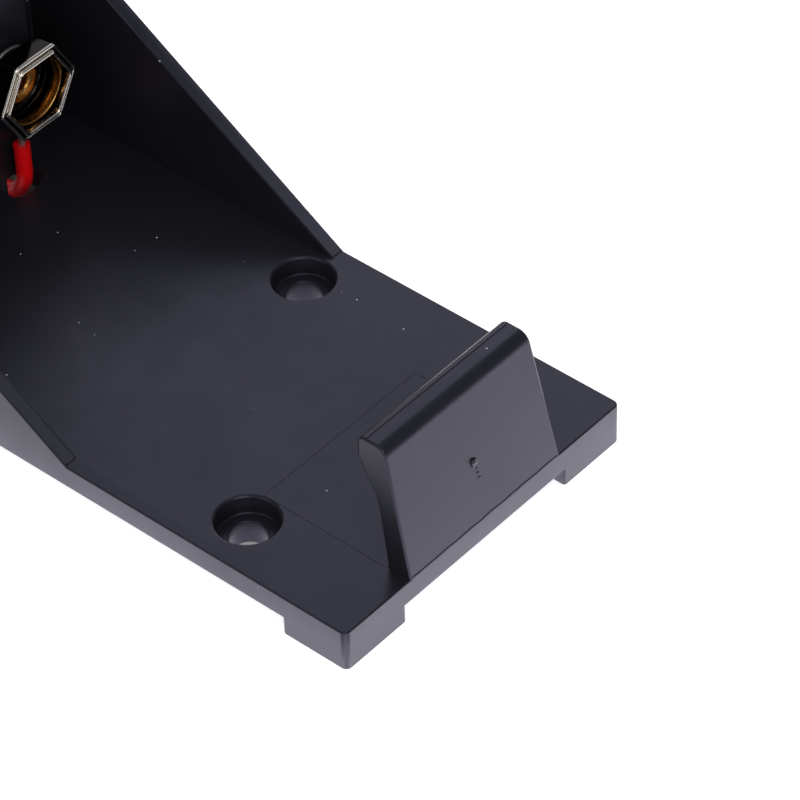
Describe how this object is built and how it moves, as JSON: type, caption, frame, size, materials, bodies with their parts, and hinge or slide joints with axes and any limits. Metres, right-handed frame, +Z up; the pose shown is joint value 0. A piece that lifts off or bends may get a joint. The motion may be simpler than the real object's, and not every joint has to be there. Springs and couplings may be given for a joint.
{
  "type": "nine volt battery holder",
  "caption": "Open moulded tray for a flat nine volt cell, with a spring tab, sloping side walls, snap contacts on the end wall and a soldered lead.",
  "frame": {"origin": "middle of the moulding's footprint, on the surface that its feet stand on", "axes": "+Z up; +Y from the spring tab to the end wall with the contacts; +X towards the six-sided socket"},
  "size_m": [0.0292, 0.0791, 0.0226],
  "materials": {
    "black_plastic": "satin moulded",
    "nickel_plate": "bright nickel plate",
    "brass": "bare brass",
    "tinned_metal": "dull tin",
    "red_insulation": "satin"
  },
  "bodies": {
    "root": {"holder_body": "black_plastic", "socket_shell": "nickel_plate", "socket_spring_cup": "brass", "socket_rivet": "nickel_plate", "socket_solder_lug": "tinned_metal", "stud_cap": "nickel_plate", "stud_rivet": "nickel_plate", "stud_solder_lug": "tinned_metal", "red_lead_solder_joint": "tinned_metal", "red_lead": "red_insulation", "red_lead_coil": "red_insulation", "red_lead_tail": "red_insulation", "red_lead_end": "tinned_metal"}
  },
  "joints": []
}
